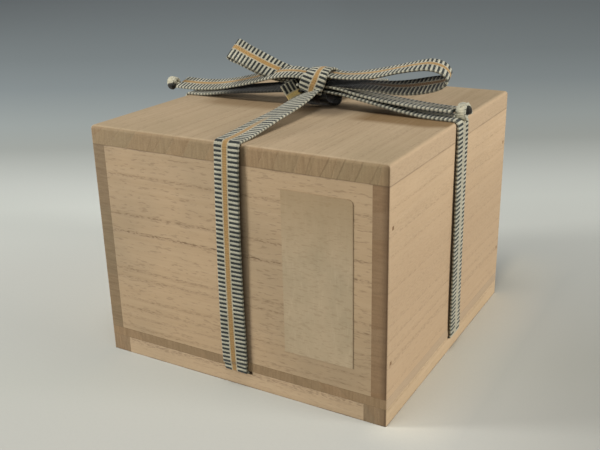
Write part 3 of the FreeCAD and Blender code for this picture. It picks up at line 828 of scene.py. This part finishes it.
RIGHT_TAIL = [
    (-8.3, 5.0, 130.6, 90, 0), (-1.0, 5.0, 130.4, 90, -2), (8.0, 5.0, 130.4, 90, -6),
    (16.0, 5.0, 129.7, 90, -7), (26.0, 5.0, 127.9, 90, -3), (37.0, 5.0, 126.5, 90, 0),
    (48.0, 5.0, 125.5, 90, 0), (60.0, 5.0, 124.6, 90, -1), (70.0, 5.0, 124.2, 90, -2),
    (74.7, 5.0, 124.2, 90, -1),
]
LEFT_TAIL = [
    (5.0, 4.4, 134.6, 90, 8), (-4.0, 4.3, 135.7, 90, 9), (-12.0, 4.1, 136.2, 90, 14),
    (-20.0, 4.3, 135.5, 90, 17), (-28.0, 4.8, 133.5, 90, 17), (-37.0, 5.4, 130.8, 90, 17),
    (-47.0, 5.8, 128.3, 90, 15), (-57.0, 6.3, 126.1, 90, 15), (-67.0, 6.6, 124.9, 90, 15),
    (-77.0, 6.7, 124.4, 90, 15), (-86.8, 6.7, 124.7, 90, 15),
]

loop_right, line = strip(
    "bow_loop_right", RIGHT_LOOP, "cord", ["bow_loop_right"], OCHRE, side=-1, flip=True,
    back=REVERSE_SHADED,
)
strip("bow_loop_left", LEFT_LOOP, "cord", ["bow_loop_left"], OCHRE, flip=True)
tail_right, TAIL_RIGHT_LINE = strip(
    "bow_tail_right", RIGHT_TAIL, "cord", ["bow_tail_right"], CREAM_TAIL_LIT, flip=True
)
tail_left, TAIL_LEFT_LINE = strip(
    "bow_tail_left", LEFT_TAIL, "cord", ["bow_tail_left"], OCHRE, side=-1, flip=True
)

# Knot: a band up over the strands, leaning to the right, and the folds under it, whose cord is
# darkened as painted shade

WRAP = [
    (0.4, 2.0, 127.6, 0, -8), (0.6, -2.0, 127.9, 3, -14), (1.1, -3.9, 129.2, 5, -17),
    (2.2, -4.4, 131.8, 11, -19), (3.0, -3.5, 134.0, 12, -19), (3.7, -2.6, 135.8, -3, -14),
    (3.9, -1.0, 137.2, -12, -7), (3.9, 1.2, 138.2, -14, -2), (4.0, 4.0, 138.9, -14, 2),
    (4.3, 7.2, 138.6, -14, 5), (4.6, 10.2, 137.0, -10, 8), (4.8, 11.8, 134.0, -4, 10),
    (4.8, 11.6, 130.6, 0, 10), (4.6, 8.6, 128.6, 0, 8), (4.2, 5.0, 128.4, 0, 8),
]
strip("bow_knot", WRAP, "cord", ["bow_knot"], OCHRE, side=-1, flip=True, crown=0.35)

FOLD = [
    (-11.4, -5.6, 125.0, 176, 52), (-10.4, -4.0, 126.0, 178, 56), (-8.2, -1.0, 127.3, 180, 56),
    (-5.6, 2.2, 128.6, 184, 50), (-2.6, 5.4, 129.4, 188, 42),
]
strip("bow_knot_fold", FOLD, "cord", [], FOLDED_SHADED, side=-1)

# A strand under the knot, in near-black cord: painted shade
UNDER_KNOT = [
    (2.8, -2.6, 127.2, 4, 6), (3.4, -3.4, 125.4, 6, 4), (4.4, -2.4, 123.2, 8, 2),
    (5.2, 0.6, 121.8, 10, 0), (5.6, 4.6, 121.0, 10, 0), (5.6, 9.0, 121.6, 8, 0),
    (5.0, 11.4, 124.0, 4, 2), (4.4, 10.8, 126.8, 0, 4),
]
strip("bow_knot_under", UNDER_KNOT, "cord", [], SHADED, flip=True)


# Small knots at the cord's ends: the cord turned round itself, and its cut end past that

LUMP_ROWS, LUMP_AROUND = 12, 20
# A knot's first turn: its points, the angle of the first and from one to the next, in degrees, and
# how much each is further out and, in millimetres, further along
TURN_POINTS, TURN_FROM, TURN_STEP, TURN_GROWTH, TURN_SHIFT = 11, -150.0, 42.0, 0.025, 0.14


def lump(name, centre, radii, material, seed):
    """A small uneven ball with flattened poles, for a cut end pulled tight."""
    cx, cy, cz = centre
    points, places = [], []
    for i in range(1, LUMP_ROWS):
        high = math.pi * i / LUMP_ROWS - math.pi / 2
        for k in range(LUMP_AROUND):
            turn = 2 * math.pi * k / LUMP_AROUND
            grow = 1.0 + 0.07 * math.sin(3 * turn + seed) * math.cos(high)
            grow += 0.05 * math.sin(4 * high + 2 * seed)
            x = (cx + radii[X] * grow * math.cos(high) * math.cos(turn)) / MM_PER_M
            y = (cy + radii[Y] * grow * math.cos(high) * math.sin(turn)) / MM_PER_M
            z = (cz + radii[Z] * grow * math.sin(high)) / MM_PER_M
            points.append((x, y, z))
            places.append((x, 0.5 + 40.0 * (z - cz / MM_PER_M)))
    faces = capped_tube(LUMP_ROWS - 1, LUMP_AROUND)
    piece = cord_piece(name, points, faces, places, [material], "cord")
    for polygon in piece.data.polygons:
        polygon.use_smooth = True
    return piece


def end_knot(name, centre, along, radii, tip, start):
    """A pale turn of the cord round its own end, a second turn across it, and the dark cut end.

    along is 1 or -1, the way that the cord runs in x. radii are the first turn's, in y and z. tip
    is the cut end's place from the centre, and its size.
    """
    cx, cy, cz = centre
    wide, high = radii
    turn = []
    for k in range(TURN_POINTS):
        angle = math.radians(TURN_FROM + TURN_STEP * k)
        grow = 1.0 + TURN_GROWTH * k
        y, z = cy + wide * grow * math.cos(angle), cz + high * grow * math.sin(angle)
        turn.append((cx + along * TURN_SHIFT * k, y, z, 0 if along > 0 else 180, 8))
    cross = [
        (cx - along * 1.6, cy - 0.75 * wide, cz - 0.5 * high, 20, 62),
        (cx - along * 0.6, cy - wide, cz + 0.3 * high, 10, 40),
        (cx + along * 0.8, cy - 0.4 * wide, cz + 1.1 * high, 0, 12),
        (cx + along * 2.0, cy + 0.5 * wide, cz + high, -10, -20),
        (cx + along * 2.8, cy + wide, cz, -20, -50),
    ]
    dx, dy, dz, size = tip
    return [
        strip(name, turn, "cord", [name], PALE_END, side=-1, width=4.4,
              v_range=(0.30, 0.62), start=start, crown=0.25)[0],
        strip(name + "_turn", cross, "cord", [], PALE_END, side=-1, width=4.0, thick=1.1,
              v_range=(0.0, 0.4), start=start + 0.01, crown=0.2)[0],
        lump(name + "_cut_end", (cx + dx, cy + dy, cz + dz),
             (0.55 * size, 0.5 * size, 0.46 * size), DARK_END, cx),
    ]


right_knot = end_knot(
    "tail_knot_right", (77.4, 4.8, 123.8), 1, (3.4, 3.3), (2.3, -0.2, 0.8, 5.0), 0.0
)
left_knot = end_knot(
    "tail_knot_left", (-90.9, 5.0, 124.9), -1, (2.3, 1.9), (-0.4, -2.2, -1.7, 4.6), 0.004
)


# Tea bowl: thrown, a little uneven, amber glaze that stops above the foot

GLAZE_STOP_Z, GLAZE_RUN = (0.0150, 0.0160), -0.012
RIM_Z = (0.0895, 0.0935)
THROWING = 1400.0


def glaze():
    n = Nodes("bowl_glaze")
    here = n.place()
    x, y, z = n.parts(here)
    run = n.cells(here, (34.0, 34.0, 17.0), 3.0, 0.5, 0.4)
    pool = n.cells(here, 24.0, 3.0)
    fine = n.cells(here, (900.0, 900.0, 500.0), 3.0, 0.7)
    colour = n.grade(run, 0.34, 0.66, (150, 88, 40), (112, 62, 30))
    colour = n.tint(n.times(n.span(pool, 0.5, 0.75), 0.6), colour, (54, 34, 22))
    colour = n.tint(n.times(n.span(fine, 0.55, 0.72), 0.3), colour, (206, 152, 84))
    rim = n.span(z, *RIM_Z, smooth=True)
    colour = n.tint(n.times(rim, 0.55), colour, (64, 38, 22))
    glazed = n.span(n.plus(z, n.times(run, GLAZE_RUN)), *GLAZE_STOP_Z)
    clay = n.grade(fine, 0.35, 0.7, (168, 136, 100), (132, 102, 72))
    colour = n.mix(glazed, clay, colour)
    rough = n.minus(0.85, n.times(glazed, 0.66))
    throwing = n.math("SINE", n.times(z, THROWING))
    relief = n.plus(n.times(throwing, 0.25), n.times(run, 0.9))
    relief = n.plus(relief, n.times(fine, 0.1))
    relief = n.plus(relief, n.hypot(x, y))
    return n.finish(colour, rough, n.bump(relief, 0.35, 0.0006), Specular_IOR_Level=0.5)


# Radius and height over the base board in millimetres, from under the foot up and into the bowl
BOWL_OUTLINE = [
    (0.0, 5.6), (12.0, 5.6), (19.6, 5.5), (20.4, 4.6), (20.8, 0.3), (21.4, 0.0), (25.6, 0.0),
    (26.5, 0.5), (26.8, 2.2), (26.2, 6.4), (28.0, 8.2), (38.0, 10.2), (47.5, 17.0), (53.8, 26.0),
    (57.0, 36.5), (57.6, 46.0), (58.6, 53.0), (59.3, 61.0), (60.3, 69.0), (61.6, 76.0),
    (61.8, 79.0), (61.0, 79.95), (59.6, 79.95), (58.4, 78.6), (57.4, 72.0), (56.0, 58.0),
    (54.8, 46.0), (52.6, 37.0), (48.5, 27.0), (41.0, 18.8), (31.0, 14.2), (21.5, 13.0),
    (18.8, 12.0), (8.0, 11.8), (0.0, 11.8),
]
BOWL_HEIGHT, BOWL_Z, BOWL_STEPS = 0.08, 0.0136, 96


def bowl_point(radius, z, angle):
    """A point of the bowl. Towards the rim it sways out of round and dips."""
    height = z / BOWL_HEIGHT
    uneven = 0.006 + 0.006 * math.sin(2 * angle + 0.7) + 0.003 * math.sin(3 * angle + 2.0)
    sway = 1.0 - height * uneven
    dip = 0.0010 * height ** 3 * (
        0.5 + 0.5 * math.sin(3 * angle + 1.1) * math.cos(angle - 0.4)
    )
    return radius * sway * math.cos(angle), radius * sway * math.sin(angle), BOWL_Z + z - dip


def tea_bowl():
    outline = smooth_line(
        [Vector((r / MM_PER_M, 0.0, z / MM_PER_M)) for r, z in BOWL_OUTLINE], 4
    )
    outline = [p for p in outline if p.x > 1e-5]
    angles = [2 * math.pi * k / BOWL_STEPS for k in range(BOWL_STEPS)]
    points = [bowl_point(p.x, p.z, angle) for p in outline for angle in angles]
    faces = tube(len(outline), BOWL_STEPS)
    under, inside = len(points), len(points) + 1
    points += [(0, 0, BOWL_Z + outline[0].z), (0, 0, BOWL_Z + outline[-1].z)]
    last = (len(outline) - 1) * BOWL_STEPS
    for k in range(BOWL_STEPS):
        m = (k + 1) % BOWL_STEPS
        faces += [(m, k, under), (last + k, last + m, inside)]
    piece = mesh_piece("tea_bowl_thrown", points, faces, [glaze()])
    for polygon in piece.data.polygons:
        polygon.use_smooth = True
    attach(piece, "bowl")
    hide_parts("tea_bowl")


tea_bowl()


# Floor, lamps and world

FLOOR_HALF = 12.0
AWAY = (-math.sin(YAW), math.cos(YAW))
TONES_FROM, TONES_TO = -0.2, 3.0
# Metres away from the camera, past the box's middle, and the floor's colour there: painted light
# and shade, set to how light falls on the floor
FLOOR_PAINTED_TONES = [
    (-0.12, (186, 186, 179)), (-0.06, (185, 186, 178)), (-0.02, (190, 191, 184)),
    (0.03, (197, 198, 191)), (0.08, (202, 203, 196)), (0.13, (207, 209, 202)),
    (0.20, (208, 211, 204)), (0.26, (199, 202, 196)), (0.38, (171, 175, 170)),
    (0.48, (171, 178, 176)), (0.69, (160, 169, 171)), (0.94, (162, 171, 173)),
    (1.34, (176, 185, 187)), (1.85, (192, 200, 202)), (2.6, (200, 207, 208)),
]


def floor_material():
    """Painted light beside the right wall, painted shade to the right of the box and far out to the
    sides, and painted light and shade along the depth.
    """
    n = Nodes("floor")
    here = n.place()
    x, y, _ = n.parts(here)
    depth = n.plus(n.times(x, AWAY[X]), n.times(y, AWAY[Y]))
    aside = n.minus(n.times(x, AWAY[Y]), n.times(y, AWAY[X]))
    reach = TONES_TO - TONES_FROM
    stops = [((place - TONES_FROM) / reach, linear(tone)) for place, tone in FLOOR_PAINTED_TONES]
    colour = n.ramp(n.span(depth, TONES_FROM, TONES_TO), stops)
    # Painted shade: the box's shadow, to the right of it
    painted_shade = n.times(
        n.span(aside, 0.03, 0.15, smooth=True), n.span(depth, -0.05, 0.24, 0.45, 0.10)
    )
    colour = n.tint(painted_shade, colour, (136, 136, 129))
    # Painted light: the floor paler beside the right wall
    beside = n.times(
        n.span(x, 0.079, 0.110, 0.50, 0.0),
        n.span(x, 0.066, 0.079, smooth=True),
        n.span(y, -0.098, -0.070, smooth=True),
        n.span(y, 0.100, 0.160, 1.0, 0.0, smooth=True),
    )
    colour = n.tint(beside, colour, (232, 226, 208))
    # Painted shade far out to the sides
    far_aside_shade = n.span(n.math("ABSOLUTE", aside), 0.8, 1.35, 0.0, 0.85, smooth=True)
    colour = n.tint(far_aside_shade, colour, (84, 86, 85))
    grain = n.span(n.cells(here, 700.0), 0.4, 0.7)
    colour = n.tint(n.times(grain, 0.04), colour, (150, 150, 145))
    return n.finish(colour, 0.9, Specular_IOR_Level=0.1)


def floor():
    side = FLOOR_HALF
    corners = [(-side, -side, 0), (side, -side, 0), (side, side, 0), (-side, side, 0)]
    mesh_piece("floor", corners, [(0, 1, 2, 3)], [floor_material()])


def lamp(name, place, aim_height, size, power):
    """A round lamp that looks at a point over the box's middle."""
    data = bpy.data.lights.new(name, "AREA")
    data.shape = "DISK"
    data.size = size
    data.energy = power
    data.color = (1.0, 0.99, 0.97)
    piece = bpy.data.objects.new(name, data)
    piece.location = place
    aim = Vector((0, 0, aim_height)) - Vector(place)
    piece.rotation_euler = aim.to_track_quat("-Z", "Y").to_euler()
    piece.visible_camera = False
    scene.collection.objects.link(piece)


floor()
lamp("key_front_left", (-1.35, -0.82, 0.34), aim_height=0.07, size=0.34, power=24.0)
lamp("fill_right", (1.55, 0.20, 0.42), aim_height=0.07, size=0.6, power=22.0)
lamp("overhead", (0.0, -0.32, 1.24), aim_height=0.10, size=0.6, power=9.0)

world = bpy.data.worlds.new("studio")
world.use_nodes = True
sky = world.node_tree.nodes["Background"]
sky.inputs["Color"].default_value = (0.93, 0.97, 1.0, 1)
sky.inputs["Strength"].default_value = 0.15
scene.world = world
scene.view_settings.view_transform = "Standard"
